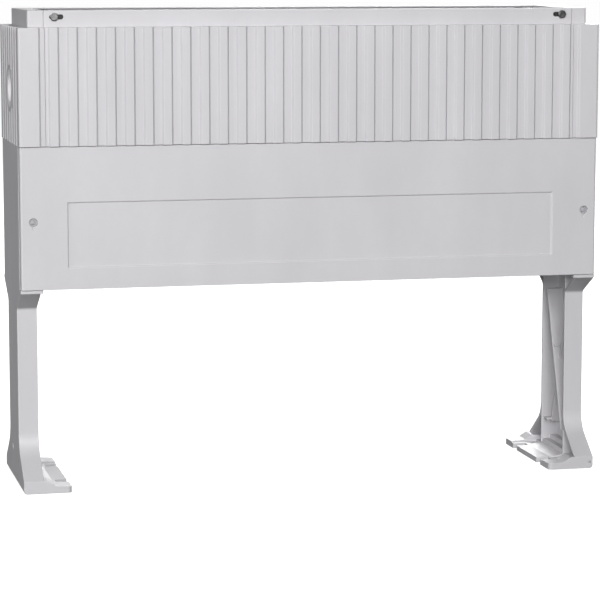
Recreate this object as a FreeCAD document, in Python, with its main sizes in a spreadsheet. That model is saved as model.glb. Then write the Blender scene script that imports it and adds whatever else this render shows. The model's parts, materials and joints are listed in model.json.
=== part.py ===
import FreeCAD, Part
import math
import os
import re

import Sketcher

# Ground-burial plinth for an outdoor cable cabinet: two glass-fibre-reinforced plastic side
# frames with legs and feet, fluted upper panels, removable lower covers and the steel inside.
# X runs along the front, +Y to the rear, +Z up. Origin: middle of the footprint, on the ground.
# Everything is in millimetres. A block that joins its neighbour laps 1 mm into it, and a cut
# starts 1 mm outside the material, so that no thin skin is left between them.

SIZES = {
    # overall
    "width": 1115,
    "depth": 283,
    "height": 895,
    "wall": 4,
    # levels above the ground
    "shoulder_level": 864,
    "band_level": 647,
    "cover_level": 381,
    "neck_level": 340,
    "flare_level": 76,
    "lip_level": 23,
    "sole": 14,
    # plan sizes of the side frames
    "post_width": 49.7,
    "leg_width": 37.3,
    "leg_half": 69,
    "ledge_half": 132,
    "ledge_thick": 6,
    "ledge_width": 42,
    "foot_width": 90,
    "rim_inset": 20,
    "rim_flange": 12,
    "rim_lip": 2,
    "seam": 0.5,
    # flutes
    "flute_depth": 5,
    "flute_slope": 3.5,
    "front_flutes": 30,
    "front_land": 39.6,
    "side_flutes": 7,
    # foot
    "slot_place": 75,
    "slot_width": 24,
    "slot_reach": 24,
    "wing_length": 42,
    "wing_flat": 45,
    "wing_slope": 15,
    "heel_height": 7,
    "heel_width": 18,
    "tread_width": 34,
    "tread_slope": 2,
    "toe_width": 44,
    "toe_height": 4,
    "foot_corner": 8,
    "leg_hole_radius": 8.5,
    "leg_hole_level": 63,
    "leg_hole_place": 23.5,
    # ribs inside the leg
    "rib": 4,
    "cross_reach": 48,
    "cross_top": 331,
    "cross_foot": 64,
    "cross_sunk": 14,
    "shelf_level": 220,
    "shelf_reach": 7,
    # side cable entry
    "entry_level": 748,
    "entry_boss": 44,
    "entry_recess": 36,
    "entry_bore": 30,
    "entry_depth": 24,
    "plug_cup": 26,
    # lower cover
    "cover_plate": 5,
    "cover_return": 13.5,
    "field_half": 469.5,
    "field_foot": 422,
    "field_top": 544,
    "field_depth": 2.4,
    # quarter-turn locks
    "lock_place": 532.5,
    "lock_level": 507.5,
    "lock_radius": 8,
    "lock_well": 4,
    "pin_radius": 5,
    "pin_neck": 4,
    "hub_radius": 6,
    "key_radius": 5.2,
    "key_half": 4.5,
    "key_sunk": 0.6,
    "wing_half": 12,
    "wing_width": 6,
    # fixings
    "rim_slot_place": 483.5,
    "rim_slot_length": 26,
    "bolt_place": 487.5,
    "rim_bolt_level": 883,
    "bolt_radius": 4,
    "bolt_hole": 4.5,
    "head_radius": 7.5,
    "head_height": 5.3,
    "nut_height": 6.5,
    "long_bolt": 20,
    "short_bolt": 18,
    "rail_bolt_length": 16,
    "backing_half": 19,
    "backing_height": 15,
    "joint_low": 700,
    "joint_high": 820,
    "joint_place": 122,
    # steel inside
    "bar_height": 40,
    "bar_depth": 20,
    "sheet": 2,
    "bar_foot": 388,
    "bar_half": 545,
    "bar_bolt_in": 520,
    "bar_bolt_out": 540,
    "rail_level": 610,
    "rail_width": 30,
    "rail_height": 15,
    "rail_mouth": 16,
    "support_bar": 4,
    "support_height": 40,
    "support_place": 526,
    "support_bolt": 539,
    "support_foot": 24,
    "shelf_inset": 5,
    "rail_half": 520,
    "rail_bolt": 508,
    # details
    "flare_radius": 52,
    "neck_radius": 6,
    "rim_radius": 5,
    "corner_radius": 5,
    "cover_radius": 4,
    "sole_radius": 6,
    "edge_radius": 1.5,
    "stiffeners": 6,
    "stiffener_span": 850,
    "stiffener_depth": 24,
    "flange_depth": 20,
    "cover_gap": 1,
    "field_draft": 40,
    "lock_head": 3.5,
    "boss_wall": 4,
    "lock_play": 0.4,
    "running_gap": 0.05,
    "wing_front": 112.4,
    "wing_thick": 4,
    "clip_thick": 2,
    "notch_width": 5,
    "notch_length": 6,
    "notch_depth": 2,
    "seal": 1,
    "plug_depth": 18,
    "washer_radius": 7.6,
    "washer_thick": 1.6,
}

doc = FreeCAD.newDocument("CabinetPlinth")
sheet = doc.addObject("Spreadsheet::Sheet", "Sizes")
TURNED = FreeCAD.Placement(FreeCAD.Vector(0, 0, 0), FreeCAD.Rotation(FreeCAD.Vector(0, 0, 1), 180))
PLANE_SIGN = {"XY_Plane": "", "XZ_Plane": "-", "YZ_Plane": ""}
parts = []


def fill_sheet():
    """Writes every driving size and its alias to the sheet."""
    for row, (alias, number) in enumerate(SIZES.items(), start=1):
        sheet.set("A%d" % row, alias)
        sheet.set("B%d" % row, str(number))
        sheet.setAlias("B%d" % row, alias)
    doc.recompute()


def formula(text):
    """Turns a formula of plain alias words into one that reads the sheet."""
    return re.sub(r"[a-z_]{3,}", lambda word: "Sizes." + word.group(), text)


def bind(thing, prop, text):
    thing.setExpression(prop, formula(text))


def new_body(label, turned=False):
    """An empty body; a turned one is rotated half a turn about the vertical axis."""
    body = doc.addObject("PartDesign::Body", "Body_" + label)
    body.Label = label
    if turned:
        body.Placement = TURNED
    parts.append(body)
    return body


def origin_part(body, role):
    return next(f for f in body.Origin.OriginFeatures if f.Role == role)


def new_sketch(body, role, level):
    """A sketch on one of the body's own planes, moved along that plane's axis to level."""
    sketch = body.newObject("Sketcher::SketchObject", "Sketch")
    sketch.AttachmentSupport = [(origin_part(body, role), "")]
    sketch.MapMode = "FlatFace"
    bind(sketch, "AttachmentOffset.Base.z", "%s(%s)" % (PLANE_SIGN[role], level))
    return sketch


def place_point(sketch, edge, end, point, start):
    """Fixes one end of a sketch edge at the two formulas of point."""
    for kind, text, number in (("DistanceX", point[0], start.x), ("DistanceY", point[1], start.y)):
        index = sketch.addConstraint(Sketcher.Constraint(kind, -1, 1, edge, end, number))
        bind(sketch, "Constraints[%d]" % index, text)


def add_outline(sketch, points):
    """A closed polygon; its corners start on a circle and the constraints put them in place."""
    count = len(points)
    first = sketch.GeometryCount
    start = []
    for index in range(count):
        angle = 2 * math.pi * index / count
        start.append(FreeCAD.Vector(100 * math.cos(angle), 100 * math.sin(angle), 0))
    for index in range(count):
        sketch.addGeometry(Part.LineSegment(start[index], start[(index + 1) % count]), False)
    for index in range(count):
        following = first + (index + 1) % count
        sketch.addConstraint(Sketcher.Constraint("Coincident", first + index, 2, following, 1))
    for index, point in enumerate(points):
        place_point(sketch, first + index, 1, point, start[index])


def add_box(sketch, low_x, low_y, high_x, high_y):
    add_outline(sketch, [(low_x, low_y), (high_x, low_y), (high_x, high_y), (low_x, high_y)])


def add_circle(sketch, point, radius):
    centre = FreeCAD.Vector(10, 10, 0)
    edge = sketch.addGeometry(Part.Circle(centre, FreeCAD.Vector(0, 0, 1), 5), False)
    place_point(sketch, edge, 3, point, centre)
    index = sketch.addConstraint(Sketcher.Constraint("Radius", edge, 5))
    bind(sketch, "Constraints[%d]" % index, radius)


def pad(body, sketch, length, along=True, taper=None):
    """Adds material from the sketch; along=False goes against its normal."""
    feature = body.newObject("PartDesign::Pad", "Pad")
    feature.Profile = sketch
    feature.Reversed = not along
    bind(feature, "Length", length)
    if taper:
        bind(feature, "TaperAngle", taper)
    sketch.Visibility = False
    return feature


def cut(body, sketch, length, along=False, taper=None):
    """Takes material away; by default it goes against the sketch's normal."""
    feature = body.newObject("PartDesign::Pocket", "Pocket")
    feature.Profile = sketch
    feature.Reversed = along
    bind(feature, "Length", length)
    if taper:
        bind(feature, "TaperAngle", taper)
    sketch.Visibility = False
    return feature


def block(body, role, level, box, length, along=True):
    """Pads one rectangle given as four formulas: low x, low y, high x, high y."""
    sketch = new_sketch(body, role, level)
    add_box(sketch, *box)
    return pad(body, sketch, length, along)


def void(body, role, level, box, length, along=True):
    """Cuts one rectangle given as four formulas: low x, low y, high x, high y."""
    sketch = new_sketch(body, role, level)
    add_box(sketch, *box)
    return cut(body, sketch, length, along)


def slot(body, role, level, centre, length, width, depth, along=False):
    """Cuts a round-ended slot along the sketch's first axis."""
    reach = "((%s)/2-(%s)/2)" % (length, width)
    box = ("%s-%s" % (centre[0], reach), "%s-(%s)/2" % (centre[1], width),
           "%s+%s" % (centre[0], reach), "%s+(%s)/2" % (centre[1], width))
    void(body, role, level, box, depth, along)
    ends = new_sketch(body, role, level)
    for way in "+-":
        add_circle(ends, ("%s%s%s" % (centre[0], way, reach), centre[1]), "(%s)/2" % width)
    cut(body, ends, depth, along)


def repeat(body, feature, role, length, count, against=False):
    """Repeats a feature count times over length along one of the body's own axes."""
    pattern = body.newObject("PartDesign::LinearPattern", "Row")
    pattern.Originals = [feature]
    pattern.Direction = (origin_part(body, role), [""])
    pattern.Reversed = against
    bind(pattern, "Length", length)
    bind(pattern, "Occurrences", count)
    body.Tip = pattern
    return pattern


def both_sides(points):
    """Completes an outline given for the positive half with its mirror image."""
    return points + [("-(%s)" % x, y) for x, y in reversed(points)]


def round_edges(body, radius, wanted):
    """Fillets every edge of the body's tip that wanted(edge) picks out."""
    doc.recompute()
    tip = body.Tip
    names = []
    for index, edge in enumerate(tip.Shape.Edges, start=1):
        if wanted(edge):
            names.append("Edge%d" % index)
    feature = body.newObject("PartDesign::Fillet", "Fillet")
    feature.Base = (tip, names)
    bind(feature, "Radius", radius)
    return feature


def straight_edge(edge, axis):
    """True for a straight edge that runs along the given axis number."""
    if len(edge.Vertexes) != 2 or edge.Curve.TypeId != "Part::GeomLine":
        return False
    run = edge.Vertexes[1].Point - edge.Vertexes[0].Point
    return abs(abs(run[axis]) - run.Length) < 1e-6


def near(number, target):
    return abs(number - target) < 0.01


# --- side frames -------------------------------------------------------------------------------

# Shared formulas: the outer wall, the flute pitch, the floor of the flutes (also the covers'
# face), the rim's face, the seat that the covers rest on, and the height of the fluted band.
OUTER = "width/2"
PITCH = "((width-2*front_land)/(front_flutes-0.5))"
FACE = "(depth/2-flute_depth)"
RIM = "(depth/2-rim_inset)"
SEAT = "(%s-cover_plate-cover_return)" % FACE
BAND = "(shoulder_level-band_level)"


def side_channel(body):
    """Wall, leg and foot flare as one channel that is open towards the cabinet's middle."""
    sketch = new_sketch(body, "YZ_Plane", "width/2-leg_width")
    add_outline(sketch, both_sides([
        (SEAT, "band_level"),
        (SEAT, "cover_level"),
        ("ledge_half", "cover_level"),
        ("ledge_half", "cover_level-ledge_thick"),
        ("leg_half", "neck_level"),
        ("leg_half", "flare_level"),
        ("depth/2", "lip_level"),
        ("depth/2", "0"),
    ]))
    pad(body, sketch, "leg_width")
    neck = SIZES["leg_half"]
    bends = (SIZES["flare_level"], SIZES["neck_level"])

    def neck_bend(edge):
        middle = edge.CenterOfMass
        level = near(middle.z, bends[0]) or near(middle.z, bends[1])
        return straight_edge(edge, 0) and near(abs(middle.y), neck) and level

    round_edges(body, "flare_radius", lambda edge: neck_bend(edge) and near(edge.CenterOfMass.z, bends[0]))
    round_edges(body, "neck_radius", lambda edge: neck_bend(edge) and near(edge.CenterOfMass.z, bends[1]))

    def sole_edge(edge):
        middle = edge.CenterOfMass
        return straight_edge(edge, 1) and near(middle.x, SIZES["width"] / 2) and near(middle.z, 0)

    round_edges(body, "sole_radius", sole_edge)

    def outer_leg_edge(edge):
        middle = edge.CenterOfMass
        below = middle.z < SIZES["cover_level"] - SIZES["ledge_thick"] / 2
        return near(edge.BoundBox.XMin, SIZES["width"] / 2) and below and middle.z > 1

    round_edges(body, "edge_radius", outer_leg_edge)
    hollow = new_sketch(body, "YZ_Plane", "width/2-leg_width")
    add_outline(hollow, both_sides([
        (SEAT + "-wall", "band_level"),
        (SEAT + "-wall", "cover_level-ledge_thick-wall"),
        ("leg_half-wall", "neck_level+wall/2"),
        ("leg_half-wall", "flare_level+wall"),
        ("leg_half", "flare_level-wall"),
        ("depth/2-wall", "lip_level-wall/2"),
        ("depth/2-wall", "sole"),
    ]))
    cut(body, hollow, "leg_width-wall", along=True)


def side_band(body):
    """Thicker upper band with the corner posts, the shoulder and the rim the cabinet sits on."""
    inner = "width/2-post_width"
    block(body, "XY_Plane", "band_level", (inner, "-depth/2", OUTER, "depth/2"), BAND)
    rim_outer = "width/2-rim_inset"
    block(body, "XY_Plane", "shoulder_level", (inner, "-" + RIM, rim_outer, RIM),
          "height-shoulder_level")
    outer_x = (SIZES["width"] / 2 - SIZES["rim_inset"], SIZES["width"] / 2)
    outer_y = (SIZES["depth"] / 2 - SIZES["rim_inset"], SIZES["depth"] / 2)

    def corner(edge, index):
        middle = edge.CenterOfMass
        on_corner = near(middle.x, outer_x[index]) and near(abs(middle.y), outer_y[index])
        return straight_edge(edge, 2) and on_corner

    def band_corner(edge):
        return corner(edge, 1) and edge.CenterOfMass.z > SIZES["band_level"]

    round_edges(body, "rim_radius", lambda edge: corner(edge, 0))
    round_edges(body, "corner_radius", band_corner)

    def top_edge(edge):
        middle = edge.CenterOfMass
        flat = near(edge.BoundBox.ZLength, 0)
        rim_top = near(middle.z, SIZES["height"]) and middle.x > outer_x[0] - SIZES["rim_radius"]
        return flat and rim_top

    round_edges(body, "edge_radius", top_edge)
    skin = "(flute_depth+wall)"
    void(body, "XY_Plane", "band_level+wall",
         (inner + "-1", "-(depth/2-%s)" % skin, "width/2-" + skin, "depth/2-" + skin),
         BAND + "-2*wall")
    void(body, "XY_Plane", "band_level",
         (inner + "-1", "-(%s-wall)" % SEAT, "width/2-" + skin, SEAT + "-wall"), "2*wall")
    void(body, "XY_Plane", "shoulder_level-2*wall",
         (inner + "-1", "-(%s-wall)" % RIM, rim_outer + "-wall", RIM + "-wall"),
         "height-shoulder_level+wall")


def post_flanges(body):
    """Inner flanges of the posts, where the panels bolt on, and the seats for the lower cover."""
    inner = "width/2-post_width"
    skin = "(flute_depth+wall)"
    for side in ("", "-"):
        inner_y = "%s(depth/2-%s-flange_depth)" % (side, skin)
        outer_y = "%s(depth/2-%s+1)" % (side, skin)
        block(body, "XY_Plane", "band_level+1", (inner, inner_y, inner + "+wall", outer_y), BAND + "-2")
        block(body, "XY_Plane", "cover_level-1",
              (inner, "%s(%s-wall)" % (side, SEAT), "width/2-wall/2", side + SEAT),
              "band_level-cover_level+2")
        block(body, "XY_Plane", "cover_level-ledge_thick",
              ("width/2-ledge_width", "%s(%s-wall)" % (side, SEAT), "width/2-wall/2", side + "ledge_half"),
              "ledge_thick")


def groove_outline(centre, face, outwards):
    """Section of one groove with sloped walls; it reaches past the face by the same slope."""
    half = PITCH + "/4"
    floor = "%s-%sflute_depth" % (face, outwards)
    above = "%s+%sflute_depth" % (face, outwards)
    return [
        ("%s-%s-1.5*flute_slope" % (centre, half), above),
        ("%s-%s+flute_slope/2" % (centre, half), floor),
        ("%s+%s-flute_slope/2" % (centre, half), floor),
        ("%s+%s+1.5*flute_slope" % (centre, half), above),
    ]


def side_flutes(body):
    """Upright grooves round the upper band; the corner ones run on into the panels."""
    row = "(side_flutes-1)*" + PITCH
    groove = new_sketch(body, "XY_Plane", "band_level-1")
    add_outline(groove, [(y, x) for x, y in groove_outline("-(%s)/2" % row, OUTER, "")])
    first = cut(body, groove, BAND + "+2", along=True)
    repeat(body, first, "Y_Axis", row, "side_flutes")
    for side in ("", "-"):
        corner = new_sketch(body, "XY_Plane", "band_level-1")
        add_outline(corner, groove_outline("(width/2-front_land-%s/4)" % PITCH, side + "depth/2", side))
        cut(body, corner, BAND + "+2", along=True)


def side_entry(body):
    """Boss and stepped bore of the side cable entry."""
    boss = new_sketch(body, "YZ_Plane", OUTER)
    add_circle(boss, ("0", "entry_level"), "entry_boss")
    pad(body, boss, "entry_depth", along=False)
    recess = new_sketch(body, "YZ_Plane", OUTER)
    add_circle(recess, ("0", "entry_level"), "entry_recess")
    cut(body, recess, "wall")
    bore = new_sketch(body, "YZ_Plane", OUTER)
    add_circle(bore, ("0", "entry_level"), "entry_bore")
    cut(body, bore, "entry_depth+1")


def foot(body):
    """Sole plate, raised wings at both ends and the notches in its inner edge."""
    inner = "width/2-foot_width"
    block(body, "XY_Plane", "0", (inner, "-depth/2", "width/2-sole_radius", "depth/2"), "sole-wall")
    for low, high in (("-depth/2", "-depth/2+wing_length"), ("depth/2-wing_length", "depth/2")):
        wing = new_sketch(body, "XZ_Plane", low)
        add_outline(wing, [
            (OUTER + "-sole_radius", "0"),
            (OUTER + "-wall/2", "sole_radius"),
            (OUTER + "-wall/2", "lip_level"),
            (OUTER + "-wing_flat", "lip_level"),
            (OUTER + "-wing_flat-wing_slope", "sole"),
            (inner, "sole-tread_slope"),
            (inner, "0"),
        ])
        pad(body, wing, "%s-(%s)" % (high, low), along=False)
    step = new_sketch(body, "XZ_Plane", "-leg_half")
    add_outline(step, [
        (OUTER + "-sole_radius", "0"),
        (OUTER + "-wall/2", "sole_radius"),
        (OUTER + "-wall/2", "lip_level+heel_height"),
        (OUTER + "-heel_width", "lip_level+heel_height"),
        (OUTER + "-heel_width-tread_slope", "lip_level"),
        (OUTER + "-tread_width", "lip_level"),
        (OUTER + "-tread_width-tread_slope", "sole+tread_slope"),
        (OUTER + "-toe_width", "sole"),
        (inner, "toe_height"),
        (inner, "0"),
    ])
    pad(body, step, "2*leg_half", along=False)
    for side in ("", "-"):
        centre = "%sslot_place" % side
        void(body, "XY_Plane", "-1", (inner + "-1", "%s-slot_width/2" % centre,
             inner + "+slot_reach", "%s+slot_width/2" % centre), "lip_level+heel_height+2")
    corners = (SIZES["width"] / 2 - SIZES["foot_width"], SIZES["depth"] / 2)

    def inner_corner(edge):
        middle = edge.CenterOfMass
        return straight_edge(edge, 2) and near(middle.x, corners[0]) and near(abs(middle.y), corners[1])

    round_edges(body, "foot_corner", inner_corner)


def leg_plates(body):
    """Upright plates that carry the leg's faces straight on behind its flares."""
    spans = (("sole-1", "flare_level+rib"), ("neck_level-rib", "cover_level-ledge_thick"))
    for side in ("", "-"):
        for low, high in spans:
            block(body, "XY_Plane", low,
                  ("width/2-leg_width", "%s(leg_half-wall)" % side, "width/2-wall/2", side + "leg_half"),
                  "%s-(%s)" % (high, low))


def leg_ribs(body):
    """Crossed stiffening ribs, two short level ribs, the leg's hole and its small drain notches."""
    web = "width/2-wall/2"
    edge = "width/2-leg_width"
    for side, reach in (("", edge + "+rib/2"), ("-", edge + "+cross_sunk")):
        brace = new_sketch(body, "YZ_Plane", reach)
        add_outline(brace, [
            ("%s(cross_reach-rib/2)" % side, "cross_top"),
            ("%s(cross_reach+rib/2)" % side, "cross_top"),
            ("-%s(cross_reach-rib/2)" % side, "cross_foot-wall"),
            ("-%s(cross_reach+rib/2)" % side, "cross_foot-wall"),
        ])
        pad(body, brace, "%s-(%s)" % (web, reach))
    crossing = "(cross_top-cross_foot+wall)"
    brace_place = "(cross_reach-2*cross_reach*(cross_top-shelf_level)/%s)" % crossing
    level = new_sketch(body, "YZ_Plane", edge + "+rib")
    add_box(level, brace_place + "-shelf_reach", "shelf_level", brace_place, "shelf_level+rib")
    add_box(level, "cross_reach-rib", "cross_foot", "leg_half-wall/2", "cross_foot+rib")
    pad(body, level, "%s-(%s+rib)" % (web, edge))
    hole = new_sketch(body, "YZ_Plane", "width/2+1")
    add_circle(hole, ("-leg_hole_place", "leg_hole_level"), "leg_hole_radius")
    cut(body, hole, "wall+2")
    void(body, "XZ_Plane", "-(leg_half+1)",
         (edge + "-1", "leg_hole_level", edge + "+rib", "leg_hole_level+rib"), "wall+2", along=False)
    void(body, "XZ_Plane", "-depth/2",
         ("width/2-2*wall", "sole-rib", "width/2-wall", "sole"), "wall", along=False)


def side_holes(body):
    """Bolt holes for panels and bars, lock openings in the cover seats."""
    joints = new_sketch(body, "YZ_Plane", "width/2-post_width-1")
    for side in ("", "-"):
        for level in ("joint_low", "joint_high"):
            add_circle(joints, ("%sjoint_place" % side, level), "bolt_hole")
    cut(body, joints, "wall+2", along=True)
    for side in ("", "-"):
        behind = "%s(%s+wall)" % (side, SEAT)
        inwards = side == ""
        fixings = new_sketch(body, "XZ_Plane", behind)
        for place in ("bar_bolt_in", "bar_bolt_out"):
            add_circle(fixings, (place, "bar_foot+bar_height/2"), "bolt_hole")
        add_circle(fixings, ("support_bolt", "rail_level-support_height/2"), "bolt_hole")
        cut(body, fixings, "3*wall", along=inwards)
        lock = new_sketch(body, "XZ_Plane", behind)
        add_circle(lock, ("lock_place", "lock_level"), "lock_radius+lock_play")
        cut(body, lock, "3*wall", along=inwards)
        void(body, "XZ_Plane", behind,
             ("lock_place-wing_width/2-1", "lock_level-wing_half-2",
              "lock_place+wing_width/2+1", "lock_level+wing_half+2"),
             "3*wall", along=inwards)


def side_frame(label, turned):
    """One moulding serves both ends: the left frame is the right one turned round."""
    body = new_body(label, turned)
    side_channel(body)
    side_band(body)
    post_flanges(body)
    side_flutes(body)
    side_entry(body)
    foot(body)
    leg_plates(body)
    leg_ribs(body)
    side_holes(body)


# --- upper panels ------------------------------------------------------------------------------

PANEL_HALF = "(width/2-post_width-seam)"


def upper_panel(label, turned):
    """Fluted panel with its shoulder, rim and bolting flanges."""
    body = new_body(label, turned)
    section = new_sketch(body, "YZ_Plane", "-" + PANEL_HALF)
    add_outline(section, [
        ("-" + FACE, "band_level"),
        ("-" + FACE, "shoulder_level"),
        ("-" + RIM, "shoulder_level"),
        ("-" + RIM, "height"),
        ("-(%s-rim_flange)" % RIM, "height"),
        ("-(%s-rim_flange)" % RIM, "height-rim_lip"),
        ("-(%s-wall)" % RIM, "height-rim_lip"),
        ("-(%s-wall)" % RIM, "shoulder_level-wall"),
        ("-(%s-wall)" % FACE, "shoulder_level-wall"),
        ("-(%s-wall)" % FACE, "band_level+wall"),
        ("-(%s-wall)" % SEAT, "band_level+wall"),
        ("-(%s-wall)" % SEAT, "band_level"),
    ])
    pad(body, section, "2*" + PANEL_HALF)
    panel_ribs(body)
    panel_ends(body)
    rim_slots(body)


def panel_ribs(body):
    """Drafted ribs on the face and plain stiffeners behind it."""
    first = "-(width/2)+front_land+0.75*%s" % PITCH
    draft = "flute_slope/2"
    rib = new_sketch(body, "XY_Plane", "band_level")
    add_outline(rib, [
        ("%s-%s/4-%s" % (first, PITCH, draft), "-(%s-1)" % FACE),
        ("%s-%s/4-%s" % (first, PITCH, draft), "-%s" % FACE),
        ("%s-%s/4+%s" % (first, PITCH, draft), "-depth/2"),
        ("%s+%s/4-%s" % (first, PITCH, draft), "-depth/2"),
        ("%s+%s/4+%s" % (first, PITCH, draft), "-%s" % FACE),
        ("%s+%s/4+%s" % (first, PITCH, draft), "-(%s-1)" % FACE),
    ])
    rib_pad = pad(body, rib, BAND)
    repeat(body, rib_pad, "X_Axis", "(front_flutes-2)*" + PITCH, "front_flutes-1")
    web = block(body, "XY_Plane", "band_level+1",
                ("-stiffener_span/2-rib/2", "-(%s-1)" % FACE,
                 "-stiffener_span/2+rib/2", "-(%s-stiffener_depth)" % FACE), BAND + "-2")
    repeat(body, web, "X_Axis", "stiffener_span", "stiffeners")


def panel_ends(body):
    """End flanges that bolt to the posts."""
    for side in ("", "-"):
        end = "%s%s" % (side, PANEL_HALF)
        inner = "%s(%s-wall)" % (side, PANEL_HALF)
        block(body, "XY_Plane", "band_level+1",
              (end, "-(%s-1)" % FACE, inner, "-(%s-stiffener_depth)" % FACE), BAND + "-2")
        joints = new_sketch(body, "YZ_Plane", end)
        for level in ("joint_low", "joint_high"):
            add_circle(joints, ("-joint_place", level), "bolt_hole")
        cut(body, joints, "wall+1", along=(side == "-"))


def rim_slots(body):
    """Level slots in the rim for the bolts that hold the cabinet."""
    for side in ("", "-"):
        slot(body, "XZ_Plane", "-(%s+1)" % RIM, (side + "rim_slot_place", "rim_bolt_level"),
             "rim_slot_length", "2*bolt_hole", "wall+2")


# --- lower covers and their locks --------------------------------------------------------------

COVER_HALF = "(width/2-1)"
COVER_FOOT = "(cover_level+1)"
COVER_TOP = "(band_level-cover_gap)"
LOCK = ("lock_place", "lock_level")


def lower_cover(label, turned):
    """Pan-shaped cover with a sunk field, stiffeners and two lock bosses."""
    body = new_body(label, turned)
    block(body, "XZ_Plane", "-" + FACE, ("-" + COVER_HALF, COVER_FOOT, COVER_HALF, COVER_TOP),
          "cover_plate+cover_return-seam", along=False)
    front = -SIZES["depth"] / 2 + SIZES["flute_depth"]
    round_edges(body, "cover_radius",
                lambda edge: straight_edge(edge, 2) and near(edge.CenterOfMass.y, front))
    void(body, "XZ_Plane", "-(%s-cover_plate)" % FACE,
         ("-(%s-wall)" % COVER_HALF, COVER_FOOT + "+wall", COVER_HALF + "-wall", COVER_TOP + "-wall"),
         "cover_return", along=False)
    field = new_sketch(body, "XZ_Plane", "-" + FACE)
    add_box(field, "-field_half", "field_foot", "field_half", "field_top")
    cut(body, field, "field_depth", taper="-field_draft")
    web = block(body, "XZ_Plane", "-(%s-cover_plate+1)" % FACE,
                ("-stiffener_span/2-rib/2", COVER_FOOT, "-stiffener_span/2+rib/2", COVER_TOP),
                "cover_return-5*seam", along=False)
    repeat(body, web, "X_Axis", "stiffener_span", "stiffeners")
    for side in ("", "-"):
        centre = (side + LOCK[0], LOCK[1])
        boss = new_sketch(body, "XZ_Plane", "-(%s-cover_plate+1)" % FACE)
        add_circle(boss, centre, "lock_radius+boss_wall")
        pad(body, boss, "cover_return+seam", along=False)
        well = new_sketch(body, "XZ_Plane", "-" + FACE)
        add_circle(well, centre, "lock_radius")
        cut(body, well, "lock_well+lock_head")
        bore = new_sketch(body, "XZ_Plane", "-" + FACE)
        add_circle(bore, centre, "pin_radius+running_gap")
        cut(body, bore, "2*cover_return")
        notch = new_sketch(body, "XZ_Plane", "-" + FACE)
        add_outline(notch, [
            ("%s-notch_width/2" % centre[0], "lock_level-lock_radius+1"),
            ("%s-notch_width/8" % centre[0], "lock_level-lock_radius-notch_length"),
            ("%s+notch_width/8" % centre[0], "lock_level-lock_radius-notch_length"),
            ("%s+notch_width/2" % centre[0], "lock_level-lock_radius+1"),
        ])
        cut(body, notch, "notch_depth")


def lock_pin(label, side, turned):
    """Quarter-turn pin: sunk head with a three-sided key, shaft and neck."""
    body = new_body(label, turned)
    centre = (side + LOCK[0], LOCK[1])
    head = new_sketch(body, "XZ_Plane", "-(%s-lock_well)" % FACE)
    add_circle(head, centre, "lock_radius-running_gap")
    pad(body, head, "lock_head", along=False)
    key = new_sketch(body, "XZ_Plane", "-(%s-lock_well)" % FACE)
    add_outline(key, [
        ("%s-key_half" % centre[0], "lock_level-key_radius/2"),
        ("%s+key_half" % centre[0], "lock_level-key_radius/2"),
        (centre[0], "lock_level+key_radius"),
    ])
    pad(body, key, "lock_well-key_sunk")
    shaft = new_sketch(body, "XZ_Plane", "-(%s-lock_well-1)" % FACE)
    add_circle(shaft, centre, "pin_radius")
    pad(body, shaft, "%s-lock_well-1-wing_front" % FACE, along=False)
    neck = new_sketch(body, "XZ_Plane", "-(wing_front+1)")
    add_circle(neck, centre, "pin_neck")
    pad(body, neck, "wing_thick+clip_thick+3", along=False)


def lock_wing(label, side, turned):
    """Cross bar that passes the upright opening in the seat and catches when turned."""
    body = new_body(label, turned)
    centre = side + LOCK[0]
    block(body, "XZ_Plane", "-wing_front",
          ("%s-wing_width/2" % centre, "lock_level-wing_half",
           "%s+wing_width/2" % centre, "lock_level+wing_half"), "wing_thick", along=False)
    hub = new_sketch(body, "XZ_Plane", "-wing_front")
    add_circle(hub, (centre, LOCK[1]), "hub_radius")
    pad(body, hub, "wing_thick", along=False)
    bore = new_sketch(body, "XZ_Plane", "-wing_front")
    add_circle(bore, (centre, LOCK[1]), "pin_neck+running_gap")
    cut(body, bore, "wing_thick+1")


def lock_clip(label, side, turned):
    """Retaining ring behind the wing."""
    body = new_body(label, turned)
    centre = (side + LOCK[0], LOCK[1])
    ring = new_sketch(body, "XZ_Plane", "-(wing_front-wing_thick)")
    add_circle(ring, centre, "hub_radius")
    add_circle(ring, centre, "pin_neck+running_gap")
    pad(body, ring, "clip_thick", along=False)


# --- side entries ------------------------------------------------------------------------------

ENTRY = ("0", "entry_level")


def entry_plug(label, turned):
    """Cup-shaped plug."""
    body = new_body(label, turned)
    flange = new_sketch(body, "YZ_Plane", "width/2-wall+seal")
    add_circle(flange, ENTRY, "entry_recess-lock_play")
    pad(body, flange, "wall-seal-seam")
    cup = new_sketch(body, "YZ_Plane", "width/2-wall+seal+1")
    add_circle(cup, ENTRY, "entry_bore-running_gap")
    pad(body, cup, "plug_depth", along=False)
    hollow = new_sketch(body, "YZ_Plane", "width/2+1")
    add_circle(hollow, ENTRY, "plug_cup")
    cut(body, hollow, "plug_depth")


def entry_seal(label, turned):
    """Flat ring under the plug's flange."""
    body = new_body(label, turned)
    ring = new_sketch(body, "YZ_Plane", "width/2-wall")
    add_circle(ring, ENTRY, "entry_recess-seal")
    add_circle(ring, ENTRY, "entry_bore+lock_play")
    pad(body, ring, "seal")


# --- steel inside ------------------------------------------------------------------------------

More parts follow.
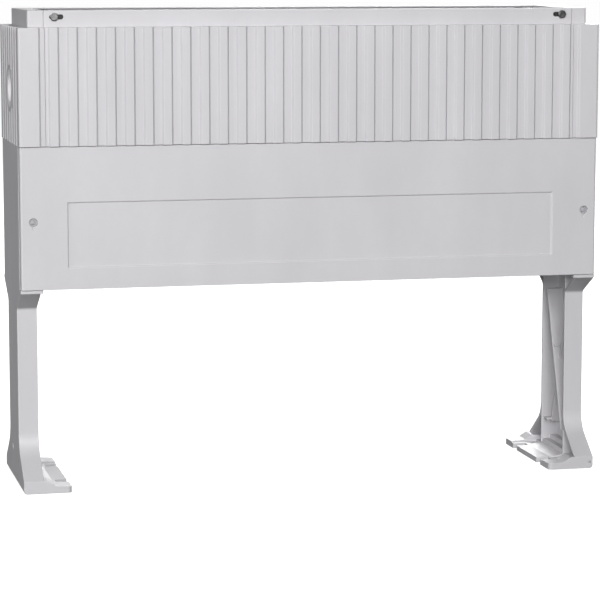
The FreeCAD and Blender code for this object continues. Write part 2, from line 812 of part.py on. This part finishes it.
def tie_bar(label, turned):
    """Channel that ties the two side frames together behind the lower cover."""
    body = new_body(label, turned)
    back = "(%s-wall)" % SEAT
    section = new_sketch(body, "YZ_Plane", "-bar_half")
    add_outline(section, [
        ("-" + back, "bar_foot"),
        ("-" + back, "bar_foot+bar_height"),
        ("-(%s-bar_depth)" % back, "bar_foot+bar_height"),
        ("-(%s-bar_depth)" % back, "bar_foot+bar_height-sheet"),
        ("-(%s-sheet)" % back, "bar_foot+bar_height-sheet"),
        ("-(%s-sheet)" % back, "bar_foot+sheet"),
        ("-(%s-bar_depth)" % back, "bar_foot+sheet"),
        ("-(%s-bar_depth)" % back, "bar_foot"),
    ])
    pad(body, section, "2*bar_half")
    holes = new_sketch(body, "XZ_Plane", "-" + back)
    for place in ("bar_bolt_in", "bar_bolt_out", "-bar_bolt_in", "-bar_bolt_out"):
        add_circle(holes, (place, "bar_foot+bar_height/2"), "bolt_hole")
    cut(body, holes, "sheet+1")


def rail_support(label, turned):
    """Angle from the front seat to the rear seat that carries one end of the clamp rail."""
    body = new_body(label, turned)
    back = "(%s-wall)" % SEAT
    foot_level = "rail_level-support_height"
    block(body, "XY_Plane", foot_level,
          ("support_place-support_bar", "-%s" % back, "support_place", back), "support_height")
    block(body, "XY_Plane", "rail_level-support_bar",
          ("support_place-rail_width", "-(%s-shelf_inset)" % back,
           "support_place", "%s-shelf_inset" % back), "support_bar")
    for side in ("", "-"):
        block(body, "XY_Plane", foot_level,
              ("support_place-1", side + back, "support_place+support_foot",
               "%s(%s-support_bar)" % (side, back)), "support_height")
        hole = new_sketch(body, "XZ_Plane", side + back)
        add_circle(hole, ("support_bolt", "rail_level-support_height/2"), "bolt_hole")
        cut(body, hole, "support_bar+1", along=(side == ""))
    down = new_sketch(body, "XY_Plane", "rail_level")
    add_circle(down, ("rail_bolt", "0"), "bolt_hole")
    cut(body, down, "support_bar+1")


def clamp_rail(label):
    """Open channel for cable clamps across the inside."""
    body = new_body(label)
    outside = both_sides([
        ("rail_mouth/2", "rail_level+rail_height-sheet"),
        ("rail_mouth/2", "rail_level+rail_height"),
        ("rail_width/2", "rail_level+rail_height"),
        ("rail_width/2", "rail_level"),
    ])
    inside = both_sides([
        ("rail_width/2-sheet", "rail_level+rail_height-sheet"),
        ("rail_width/2-sheet", "rail_level+sheet"),
    ])
    section = new_sketch(body, "YZ_Plane", "-rail_half")
    add_outline(section, outside + inside[::-1])
    pad(body, section, "2*rail_half")
    for side in ("", "-"):
        hole = new_sketch(body, "XY_Plane", "rail_level+sheet")
        add_circle(hole, ("%srail_bolt" % side, "0"), "bolt_hole")
        cut(body, hole, "sheet+1")


# --- bolts, washers and nuts -------------------------------------------------------------------

WAYS = {
    "+X": FreeCAD.Rotation(FreeCAD.Vector(0, 1, 0), 90),
    "-X": FreeCAD.Rotation(FreeCAD.Vector(0, 1, 0), -90),
    "+Y": FreeCAD.Rotation(FreeCAD.Vector(1, 0, 0), -90),
    "-Y": FreeCAD.Rotation(FreeCAD.Vector(1, 0, 0), 90),
    "-Z": FreeCAD.Rotation(FreeCAD.Vector(1, 0, 0), 180),
}


def put(thing, place, way):
    """Moves a fastener to a point given as three formulas, with its shank along way."""
    thing.Placement = FreeCAD.Placement(FreeCAD.Vector(0, 0, 0), WAYS[way])
    for axis, text in zip("xyz", place):
        bind(thing, "Placement.Base." + axis, text)
    return thing


def cylinder(radius, height):
    piece = doc.addObject("Part::Cylinder", "Cylinder")
    bind(piece, "Radius", radius)
    bind(piece, "Height", height)
    return piece


def hexagon(height):
    piece = doc.addObject("Part::Prism", "Hexagon")
    piece.Polygon = 6
    bind(piece, "Circumradius", "head_radius")
    bind(piece, "Height", height)
    return piece


def bolt(place, way, length):
    """Hexagon bolt; place is the middle of the head's seat and the shank runs along way."""
    head = hexagon("head_height")
    bind(head, "Placement.Base.z", "-head_height")
    whole = doc.addObject("Part::Fuse", "Bolt")
    whole.Base = head
    whole.Tool = cylinder("bolt_radius", length)
    return put(whole, place, way)


def ring(base, place, way, radius, height):
    """A nut or washer: base less a bore of the given radius."""
    whole = doc.addObject("Part::Cut", "Ring")
    whole.Base = base
    whole.Tool = cylinder(radius, height)
    return put(whole, place, way)


def nut(place, way):
    return ring(hexagon("nut_height"), place, way, "bolt_radius+running_gap", "nut_height")


def washer(place, way):
    disc = cylinder("washer_radius", "washer_thick")
    return ring(disc, place, way, "bolt_radius+running_gap", "washer_thick")


def backing_plate(place, way):
    """Rectangular plate with a bolt hole; it closes a rim slot from behind."""
    plate = doc.addObject("Part::Box", "Plate")
    for prop, text in (("Length", "2*backing_half"), ("Width", "backing_height"),
                       ("Height", "washer_thick"), ("Placement.Base.x", "-backing_half"),
                       ("Placement.Base.y", "-backing_height/2")):
        bind(plate, prop, text)
    return ring(plate, place, way, "bolt_radius+running_gap", "washer_thick")


def group(label, pieces):
    """Identical fasteners share one sub-part as separate solids."""
    compound = doc.addObject("Part::Compound", "Group_" + label)
    compound.Label = label
    compound.Links = pieces
    parts.append(compound)


def corners(place, level):
    """The four corner points with the way that leads to the middle of the object."""
    found = []
    for side_x in ("", "-"):
        for side_y, way in (("", "-Y"), ("-", "+Y")):
            found.append((side_x + place, side_y, level, way))
    return found


def cabinet_fixings():
    """Bolts through the rim slots, each with a washer outside, a backing plate and a nut inside."""
    bolts, washers, plates, nuts = [], [], [], []
    for x, side, level, way in corners("bolt_place", "rim_bolt_level"):
        bolts.append(bolt((x, "%s(%s+washer_thick)" % (side, RIM), level), way, "long_bolt"))
        washers.append(washer((x, "%s(%s+washer_thick)" % (side, RIM), level), way))
        plates.append(backing_plate((x, "%s(%s-wall)" % (side, RIM), level), way))
        nuts.append(nut((x, "%s(%s-wall-washer_thick)" % (side, RIM), level), way))
    group("cabinet_bolts", bolts)
    group("cabinet_washers", washers)
    group("cabinet_backing_plates", plates)
    group("cabinet_nuts", nuts)


def panel_fixings():
    """Bolts that hold the panel ends to the posts."""
    bolts, nuts = [], []
    for side, way in (("", "+X"), ("-", "-X")):
        for y in ("joint_place", "-joint_place"):
            for level in ("joint_low", "joint_high"):
                bolts.append(bolt(("%s(%s-wall)" % (side, PANEL_HALF), y, level), way, "long_bolt"))
                nuts.append(nut(("%s(width/2-post_width+wall)" % side, y, level), way))
    group("panel_bolts", bolts)
    group("panel_nuts", nuts)


def seat_fixings():
    """Bolts through the cover seats that hold the tie bars and the rail supports."""
    bolts, nuts = [], []
    for place in ("bar_bolt_in", "bar_bolt_out"):
        for x, side, level, way in corners(place, "bar_foot+bar_height/2"):
            bolts.append(bolt((x, side + SEAT, level), way, "short_bolt"))
            nuts.append(nut((x, "%s(%s-wall-sheet)" % (side, SEAT), level), way))
    group("tie_bar_bolts", bolts)
    group("tie_bar_nuts", nuts)
    bolts, nuts = [], []
    for x, side, level, way in corners("support_bolt", "rail_level-support_height/2"):
        bolts.append(bolt((x, side + SEAT, level), way, "long_bolt"))
        nuts.append(nut((x, "%s(%s-wall-support_bar)" % (side, SEAT), level), way))
    group("support_bolts", bolts)
    group("support_nuts", nuts)


def rail_fixings():
    """Bolts from inside the clamp rail down through its supports."""
    bolts, nuts = [], []
    for side in ("", "-"):
        bolts.append(bolt((side + "rail_bolt", "0", "rail_level+sheet"), "-Z", "rail_bolt_length"))
        nuts.append(nut((side + "rail_bolt", "0", "rail_level-support_bar"), "-Z"))
    group("rail_bolts", bolts)
    group("rail_nuts", nuts)


# --- output ------------------------------------------------------------------------------------

def check_and_export():
    """Stops on a failed feature or a bad shape, then writes one file for each sub-part."""
    doc.recompute()
    for thing in doc.Objects:
        if "Invalid" in thing.State or "Error" in thing.State:
            raise RuntimeError("%s failed: %s" % (thing.Name, thing.State))
    os.makedirs("parts", exist_ok=True)
    for part in parts:
        if part.Shape.isNull() or not part.Shape.isValid():
            raise RuntimeError("bad shape: " + part.Label)
        part.Shape.exportStep("parts/%s.step" % part.Label)
        print(part.Label, round(part.Shape.Volume / 1000, 1), "cm3", len(part.Shape.Solids), "solids")


fill_sheet()
side_frame("right_side_frame", False)
side_frame("left_side_frame", True)
for end, turned in (("front", False), ("rear", True)):
    upper_panel(end + "_upper_panel", turned)
    lower_cover(end + "_lower_cover", turned)
    tie_bar(end + "_tie_bar", turned)
    for hand in ("left", "right"):
        minus = "-" if (hand == "left") != turned else ""
        lock_pin("%s_%s_lock_pin" % (end, hand), minus, turned)
        lock_wing("%s_%s_lock_wing" % (end, hand), minus, turned)
        lock_clip("%s_%s_lock_clip" % (end, hand), minus, turned)
for hand, turned in (("right", False), ("left", True)):
    entry_plug(hand + "_entry_plug", turned)
    entry_seal(hand + "_entry_seal", turned)
    rail_support(hand + "_rail_support", turned)
clamp_rail("cable_clamp_rail")
cabinet_fixings()
panel_fixings()
seat_fixings()
rail_fixings()
check_and_export()
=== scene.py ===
import json
import math

import bmesh
import bpy
from mathutils import Matrix, Vector


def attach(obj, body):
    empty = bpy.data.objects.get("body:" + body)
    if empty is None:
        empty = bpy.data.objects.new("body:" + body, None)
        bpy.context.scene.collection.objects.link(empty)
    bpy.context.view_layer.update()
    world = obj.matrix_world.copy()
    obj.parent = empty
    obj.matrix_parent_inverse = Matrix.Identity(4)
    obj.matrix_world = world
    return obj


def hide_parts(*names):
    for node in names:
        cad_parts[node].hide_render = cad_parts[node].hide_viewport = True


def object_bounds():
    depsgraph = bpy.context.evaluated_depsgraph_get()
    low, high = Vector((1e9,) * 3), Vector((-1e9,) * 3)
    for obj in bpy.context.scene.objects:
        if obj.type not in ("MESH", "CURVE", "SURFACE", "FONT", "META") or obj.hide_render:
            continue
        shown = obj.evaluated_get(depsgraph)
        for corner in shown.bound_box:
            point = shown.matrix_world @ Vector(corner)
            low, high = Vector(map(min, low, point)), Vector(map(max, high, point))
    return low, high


# Looks of a cable cabinet's plinth: light grey moulded plastic, galvanised steel inside, dark steel bolts.

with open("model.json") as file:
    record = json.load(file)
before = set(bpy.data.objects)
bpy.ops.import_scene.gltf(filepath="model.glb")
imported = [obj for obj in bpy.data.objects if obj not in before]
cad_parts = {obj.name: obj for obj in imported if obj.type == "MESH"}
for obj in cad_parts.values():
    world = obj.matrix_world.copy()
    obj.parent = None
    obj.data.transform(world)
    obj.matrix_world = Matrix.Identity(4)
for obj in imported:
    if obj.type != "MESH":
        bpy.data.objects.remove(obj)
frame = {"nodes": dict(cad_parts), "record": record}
cad_low, cad_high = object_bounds()

MM = 0.001


# --- material helpers --------------------------------------------------------------------------

def new_material(name, roughness, metallic=0.0):
    material = bpy.data.materials.new(name)
    material.use_nodes = True
    tree = material.node_tree
    shader = tree.nodes["Principled BSDF"]
    shader.inputs["Roughness"].default_value = roughness
    shader.inputs["Metallic"].default_value = metallic
    return material, tree, shader


def node(tree, kind, inputs=None, **settings):
    """Adds a node; inputs maps socket names or numbers to values or to other nodes' outputs."""
    made = tree.nodes.new(kind)
    for key, value in settings.items():
        setattr(made, key, value)
    for key, value in (inputs or {}).items():
        if isinstance(value, bpy.types.NodeSocket):
            tree.links.new(value, made.inputs[key])
        else:
            made.inputs[key].default_value = value
    return made


def place(tree, stretch=(1, 1, 1)):
    """Object coordinates in metres, stretched along each axis."""
    coordinates = node(tree, "ShaderNodeTexCoord")
    mapping = node(tree, "ShaderNodeMapping", {"Vector": coordinates.outputs["Object"], "Scale": stretch})
    return mapping.outputs["Vector"]


def noise(tree, where, scale, detail=3.0, roughness=0.5):
    made = node(tree, "ShaderNodeTexNoise",
                {"Vector": where, "Scale": scale, "Detail": detail, "Roughness": roughness})
    return made.outputs["Fac"]


def spread(tree, value, low, high, from_low=0.3, from_high=0.7):
    """Maps a texture value to the range low..high."""
    made = node(tree, "ShaderNodeMapRange", {"Value": value, "From Min": from_low, "From Max": from_high,
                                             "To Min": low, "To Max": high})
    return made.outputs["Result"]


def blend_colour(tree, factor, first, second):
    made = node(tree, "ShaderNodeMix", data_type="RGBA")
    for key, value in ((0, factor), (6, first), (7, second)):
        if isinstance(value, bpy.types.NodeSocket):
            tree.links.new(value, made.inputs[key])
        elif key == 0:
            made.inputs[key].default_value = value
        else:
            made.inputs[key].default_value = (*value, 1)
    return made.outputs[2]


def bump(tree, height, distance, strength=1.0, normal=None):
    inputs = {"Height": height, "Distance": distance, "Strength": strength}
    if normal:
        inputs["Normal"] = normal
    return node(tree, "ShaderNodeBump", inputs).outputs["Normal"]


def rounded(tree, radius):
    """Normals that round off sharp edges."""
    return node(tree, "ShaderNodeBevel", {"Radius": radius}, samples=6).outputs["Normal"]


def edge_mask(tree, radius):
    """About 1 on flat faces, lower within radius of an edge."""
    geometry = node(tree, "ShaderNodeNewGeometry")
    dot = node(tree, "ShaderNodeVectorMath", {0: rounded(tree, radius), 1: geometry.outputs["Normal"]},
               operation="DOT_PRODUCT")
    return dot.outputs["Value"]


def crevices(tree, reach):
    """About 1 in the open, lower in narrow gaps."""
    return node(tree, "ShaderNodeAmbientOcclusion", {"Distance": reach}, samples=8).outputs["AO"]


def connect(tree, shader, **sockets):
    names = {"colour": "Base Color", "roughness": "Roughness", "normal": "Normal"}
    for key, value in sockets.items():
        tree.links.new(value, shader.inputs[names[key]])


# --- materials ---------------------------------------------------------------------------------

def moulded_grey(name, tone, gloss=0.44):
    """Glass-fibre-reinforced moulding: faint flow marks, fibre print, fine grain, a painted highlight on
    edges and painted shade in corners.
    """
    material, tree, shader = new_material(name, gloss)
    shader.inputs["Specular IOR Level"].default_value = 0.5
    where = place(tree)
    flow = noise(tree, place(tree, (1, 1, 0.35)), 7.0, 5.0, 0.55)
    mottling = noise(tree, where, 55.0, 4.0, 0.6)
    grain = noise(tree, where, 900.0, 2.0)
    base = (tone, tone - 0.008, tone + 0.012)
    darker = tuple(0.94 * channel for channel in base)
    lighter = tuple(min(1.0, 1.035 * channel) for channel in base)
    clouds = blend_colour(tree, spread(tree, flow, 0, 1), darker, lighter)
    specks = blend_colour(tree, spread(tree, mottling, 0, 0.35, 0.35, 0.8), clouds, darker)
    # painted highlight: every edge is lightened to stand for the light it catches
    highlight_tone = tuple(min(1.0, 1.18 * channel) for channel in base)
    painted_edge_highlight = blend_colour(tree, spread(tree, edge_mask(tree, 2.2 * MM), 0.85, 0, 0.8, 0.99), specks, highlight_tone)
    # painted shade: ambient occlusion darkens corners and narrow gaps, where shade falls
    dust_and_shade = blend_colour(tree, spread(tree, crevices(tree, 2 * MM), 0.15, 0, 0.05, 0.45), painted_edge_highlight,
                        (0.30, 0.29, 0.29))
    fibres = node(tree, "ShaderNodeTexVoronoi", {"Vector": place(tree, (1, 1, 0.3)), "Scale": 210.0},
                  feature="DISTANCE_TO_EDGE").outputs["Distance"]
    smooth = rounded(tree, 1.8 * MM)
    fine = bump(tree, grain, 0.05 * MM, 0.5, smooth)
    print_through = bump(tree, spread(tree, fibres, 0, 1, 0, 0.12), 0.02 * MM, 0.5, fine)
    waves = bump(tree, flow, 1.2 * MM, 0.35, print_through)
    connect(tree, shader, colour=dust_and_shade, normal=waves,
            roughness=spread(tree, mottling, gloss - 0.05, gloss + 0.07))
    return material


def galvanised():
    """Hot-dip zinc with its spangle."""
    material, tree, shader = new_material("galvanised_steel", 0.4, 1.0)
    where = place(tree)
    cells = node(tree, "ShaderNodeTexVoronoi", {"Vector": where, "Scale": 120.0, "Randomness": 1.0})
    cell_value = node(tree, "ShaderNodeSeparateColor", {0: cells.outputs["Color"]}).outputs[0]
    clouds = noise(tree, where, 30.0, 5.0, 0.6)
    spangle = blend_colour(tree, cell_value, (0.42, 0.44, 0.46), (0.66, 0.68, 0.69))
    colour = blend_colour(tree, spread(tree, clouds, 0, 0.45), spangle, (0.52, 0.53, 0.54))
    normal = bump(tree, cell_value, 0.05 * MM, 0.4, rounded(tree, 0.8 * MM))
    connect(tree, shader, colour=colour, normal=normal, roughness=spread(tree, cell_value, 0.3, 0.5, 0, 1))
    return material


def bright_steel():
    """Darkened steel fasteners with fine turning marks."""
    material, tree, shader = new_material("bright_bolts", 0.22, 1.0)
    where = place(tree)
    marks = noise(tree, where, 1600.0, 2.0)
    clouds = noise(tree, where, 180.0, 3.0)
    colour = blend_colour(tree, spread(tree, clouds, 0, 1), (0.13, 0.13, 0.135), (0.22, 0.22, 0.22))
    normal = bump(tree, marks, 0.02 * MM, 0.35, rounded(tree, 0.4 * MM))
    connect(tree, shader, colour=colour, normal=normal, roughness=spread(tree, clouds, 0.28, 0.42))
    return material


def rubber():
    material, tree, shader = new_material("seal_rubber", 0.7)
    where = place(tree)
    grain = noise(tree, where, 700.0, 3.0)
    bloom = noise(tree, where, 60.0, 4.0)
    colour = blend_colour(tree, spread(tree, bloom, 0, 1), (0.018, 0.018, 0.019), (0.05, 0.05, 0.052))
    connect(tree, shader, colour=colour, normal=bump(tree, grain, 0.06 * MM, 0.6),
            roughness=spread(tree, bloom, 0.6, 0.8))
    return material


def pale_floor():
    """Pale paper that glows, so that floor and dome stay evenly white."""
    material, tree, shader = new_material("studio_floor", 0.9)
    shader.inputs["Specular IOR Level"].default_value = 0.1
    shader.inputs["Emission Color"].default_value = (1, 1, 1, 1)
    shader.inputs["Emission Strength"].default_value = 0.95
    clouds = noise(tree, place(tree), 1.5, 2.0)
    connect(tree, shader, colour=blend_colour(tree, clouds, (0.42, 0.42, 0.42), (0.45, 0.45, 0.45)))
    return material


def black_paint_and_shade():
    """Black-painted plate with a faint orange-peel; its black also paints in the shade seen through the
    rim's slots.
    """
    material, tree, shader = new_material("black_steel", 0.5)
    where = place(tree)
    peel = noise(tree, where, 420.0, 2.0)
    dust_and_shade = noise(tree, where, 45.0, 4.0)
    colour = blend_colour(tree, spread(tree, dust_and_shade, 0, 1), (0.012, 0.012, 0.012), (0.03, 0.03, 0.03))
    connect(tree, shader, colour=colour, normal=bump(tree, peel, 0.04 * MM, 0.5),
            roughness=spread(tree, dust_and_shade, 0.45, 0.6))
    return material


def assign(node_name, material):
    thing = frame["nodes"][node_name]
    if not thing.material_slots:
        thing.data.materials.append(material)
    for slot in thing.material_slots:
        slot.material = material


SLOT_MATERIALS = {
    "grey_grp": moulded_grey("grey_grp", 0.59),
    "plug_plastic": moulded_grey("plug_plastic", 0.92, gloss=0.4),
    # lock_plastic is a darker grey: partly the lock's own plastic, partly painted shade for its recessed
    # well
    "lock_plastic": moulded_grey("lock_plastic", 0.42, gloss=0.4),
    "galvanised_steel": galvanised(),
    "bright_bolts": bright_steel(),
    "seal_rubber": rubber(),
    "black_steel": black_paint_and_shade(),
}
for row in frame["record"]["subparts"]:
    assign(row["node"], SLOT_MATERIALS[row["material_slot"]])


# --- fasteners with chamfered hexagons and real threads ----------------------------------------

HEX_STEPS = 36
THREAD_STEPS = 16
PITCH = 1.25 * MM
THREAD_DEPTH = 0.65 * MM
BOLT_RADIUS = 4 * MM
HEAD_HEIGHT = 5.3 * MM
CHAMFER = math.radians(30)
CHAMFER_START = 0.95
MERGE_DISTANCE = 1e-6


def islands(node_name):
    """Corner points of each separate solid in a CAD node."""
    mesh = bmesh.new()
    mesh.from_mesh(frame["nodes"][node_name].data)
    bmesh.ops.remove_doubles(mesh, verts=mesh.verts, dist=MERGE_DISTANCE)
    left = set(mesh.verts)
    found = []
    while left:
        group, edge = [], [left.pop()]
        while edge:
            point = edge.pop()
            group.append(point.co.copy())
            for link in point.link_edges:
                other = link.other_vert(point)
                if other in left:
                    left.remove(other)
                    edge.append(other)
        found.append(group)
    mesh.free()
    return found


def axes_of(points, bolt):
    """Seat, directions and sizes of one hexagon fastener, read from its corner points."""
    low = Vector([min(p[i] for p in points) for i in range(3)])
    high = Vector([max(p[i] for p in points) for i in range(3)])
    middle, extent = (low + high) / 2, high - low
    pick = max if bolt else min
    axis = list(extent).index(pick(extent))
    along = Vector([float(i == axis) for i in range(3)])

    def radial(point):
        out = point - middle
        return out - along * out.dot(along)

    corner = max(points, key=lambda point: radial(point).length)
    head = radial(corner).length
    if bolt and (corner - middle).dot(along) > 0:
        along = -along
    start = middle - along * (extent[axis] / 2)
    return start, along, radial(corner).normalized(), head, extent[axis]


def ring_of(mesh, base, radius_at, height_at, steps):
    """Closed ring of points round the local axis; radius and height may change with the angle."""
    made = []
    for step in range(steps):
        angle = 2 * math.pi * step / steps
        radius = radius_at(angle)
        local = Vector((radius * math.cos(angle), radius * math.sin(angle), height_at(radius)))
        made.append(mesh.verts.new(base @ local))
    return made


def bridge(mesh, first, second):
    count = len(first)
    for i in range(count):
        j = (i + 1) % count
        mesh.faces.new((first[i], first[j], second[j], second[i]))


def hex_radius(head):
    """Radius of a hexagon with this corner radius at any angle from a corner."""
    flat = head * math.cos(math.pi / 6)
    return lambda angle: flat / math.cos((angle % (math.pi / 3)) - math.pi / 6)


def local_frame(start, along, corner):
    side = along.cross(corner)
    base = Matrix((corner, side, along)).transposed().to_4x4()
    base.translation = start
    return base


def hex_head(mesh, base, head, height, bore=0.0):
    """Hexagon chamfered at 30 degrees; a nut is chamfered on both faces and has a bore."""
    flat = head * math.cos(math.pi / 6) * CHAMFER_START
    slope = math.tan(CHAMFER)
    outline = hex_radius(head)
    low = ring_of(mesh, base, outline, lambda r: (r - flat) * slope, HEX_STEPS)
    top_height = (lambda r: height - (r - flat) * slope) if bore else (lambda r: height)
    top = ring_of(mesh, base, outline, top_height, HEX_STEPS)
    bridge(mesh, low, top)
    face = ring_of(mesh, base, lambda a: flat, lambda r: 0.0, HEX_STEPS)
    bridge(mesh, face, low)
    if not bore:
        mesh.faces.new(list(reversed(face)))
        mesh.faces.new(top)
        return
    back = ring_of(mesh, base, lambda a: flat, lambda r: height, HEX_STEPS)
    bridge(mesh, top, back)
    inner_back = ring_of(mesh, base, lambda a: bore, lambda r: height, HEX_STEPS)
    inner_face = ring_of(mesh, base, lambda a: bore, lambda r: 0.0, HEX_STEPS)
    bridge(mesh, back, inner_back)
    bridge(mesh, inner_back, inner_face)
    bridge(mesh, inner_face, face)


def thread(mesh, base, radius, low, high):
    """Helical thread between two heights, closed at both ends."""
    turns = int((high - low) / PITCH) + 2
    count = THREAD_STEPS * turns

    def line(offset, reach):
        points = []
        for step in range(count + 1):
            angle = 2 * math.pi * step / THREAD_STEPS
            rise = low + PITCH * (step / THREAD_STEPS - 1 + offset)
            rise = min(max(rise, low), high)
            local = Vector((reach * math.cos(angle), reach * math.sin(angle), rise))
            points.append(mesh.verts.new(base @ local))
        return points

    crest, root = line(0, radius), line(0.5, radius - THREAD_DEPTH)
    for step in range(count):
        mesh.faces.new((crest[step], crest[step + 1], root[step + 1], root[step]))
        if step + THREAD_STEPS < count:
            above = step + THREAD_STEPS
            mesh.faces.new((root[step], root[step + 1], crest[above + 1], crest[above]))


def fasteners(node_name, bolt):
    """One piece with a detailed bolt or nut in place of each plain one of a CAD node."""
    mesh = bmesh.new()
    for points in islands(node_name):
        start, along, corner, head, length = axes_of(points, bolt)
        base = local_frame(start, along, corner)
        if bolt:
            hex_head(mesh, base, head, HEAD_HEIGHT)
            thread(mesh, base, BOLT_RADIUS, HEAD_HEIGHT, length)
        else:
            hex_head(mesh, base, head, length, BOLT_RADIUS)
    bmesh.ops.remove_doubles(mesh, verts=mesh.verts, dist=MERGE_DISTANCE)
    bmesh.ops.dissolve_degenerate(mesh, edges=mesh.edges, dist=1e-7)
    open_edges = [edge for edge in mesh.edges if edge.is_boundary]
    bmesh.ops.holes_fill(mesh, edges=open_edges, sides=0)
    bmesh.ops.recalc_face_normals(mesh, faces=mesh.faces)
    data = bpy.data.meshes.new(node_name + "_detailed")
    mesh.to_mesh(data)
    mesh.free()
    data.materials.append(SLOT_MATERIALS["bright_bolts"])
    piece = bpy.data.objects.new(node_name + "_detailed", data)
    bpy.context.scene.collection.objects.link(piece)
    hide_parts(node_name)
    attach(piece, "plinth")


for group in ("cabinet", "panel", "tie_bar", "support", "rail"):
    fasteners(group + "_bolts", True)
    fasteners(group + "_nuts", False)


# --- stage, light and camera -------------------------------------------------------------------

def make_stage():
    """Pale floor and a pale dome round it, both only seen and never reflected."""
    material = pale_floor()
    dome_radius = 55.0
    bpy.ops.mesh.primitive_plane_add(size=120.0, location=(0, 0, 0))
    floor = bpy.context.object
    floor.name = "studio_floor"
    bpy.ops.mesh.primitive_uv_sphere_add(radius=dome_radius, location=(0, 0, 0))
    dome = bpy.context.object
    dome.name = "studio_dome"
    dome.visible_shadow = False
    for thing in (floor, dome):
        thing.data.materials.append(material)
        thing.visible_diffuse = False
        thing.visible_glossy = False


def soft_light(name, azimuth, elevation, distance, size, power):
    """A square softbox that looks at the middle of the object; azimuth 0 is in front, left is negative."""
    centre = (cad_low + cad_high) / 2
    a, e = math.radians(azimuth), math.radians(elevation)
    away = Vector((math.sin(a) * math.cos(e), -math.cos(a) * math.cos(e), math.sin(e)))
    light = bpy.data.lights.new(name, "AREA")
    light.shape = "SQUARE"
    light.size = size
    light.energy = power
    lamp = bpy.data.objects.new(name, light)
    lamp.location = centre + away * distance
    lamp.rotation_euler = away.to_track_quat("Z", "Y").to_euler()
    bpy.context.scene.collection.objects.link(lamp)


def make_world(strength):
    """Even, dim light from all around."""
    world = bpy.data.worlds.new("studio")
    world.use_nodes = True
    world.node_tree.nodes["Background"].inputs["Color"].default_value = (1, 1, 1, 1)
    world.node_tree.nodes["Background"].inputs["Strength"].default_value = strength
    bpy.context.scene.world = world


def make_camera():
    """The eye stands to the left of the object and looks a little down and to the right."""
    eye = Vector((-1.114, -4.807, 0.999))
    yaw, pitch = math.radians(13.07), math.radians(7.72)
    camera = bpy.data.cameras.new("camera")
    camera.lens = 153.6
    camera.sensor_width = 36.0
    camera.clip_end = 200.0
    eye_object = bpy.data.objects.new("camera", camera)
    eye_object.location = eye
    eye_object.rotation_euler = (math.pi / 2 - pitch, 0, -yaw)
    bpy.context.scene.collection.objects.link(eye_object)
    bpy.context.scene.camera = eye_object


make_stage()
make_world(strength=0.085)
soft_light("key", azimuth=-4, elevation=21, distance=6.5, size=2.4, power=275)
soft_light("fill", azimuth=-30, elevation=4, distance=6.5, size=2.4, power=160)
soft_light("left", azimuth=-75, elevation=15, distance=6.0, size=2.2, power=77)
soft_light("rear", azimuth=160, elevation=28, distance=6.5, size=2.6, power=330)
soft_light("right", azimuth=112, elevation=14, distance=6.5, size=2.4, power=60)
make_camera()
bpy.context.scene.view_settings.view_transform = "Standard"
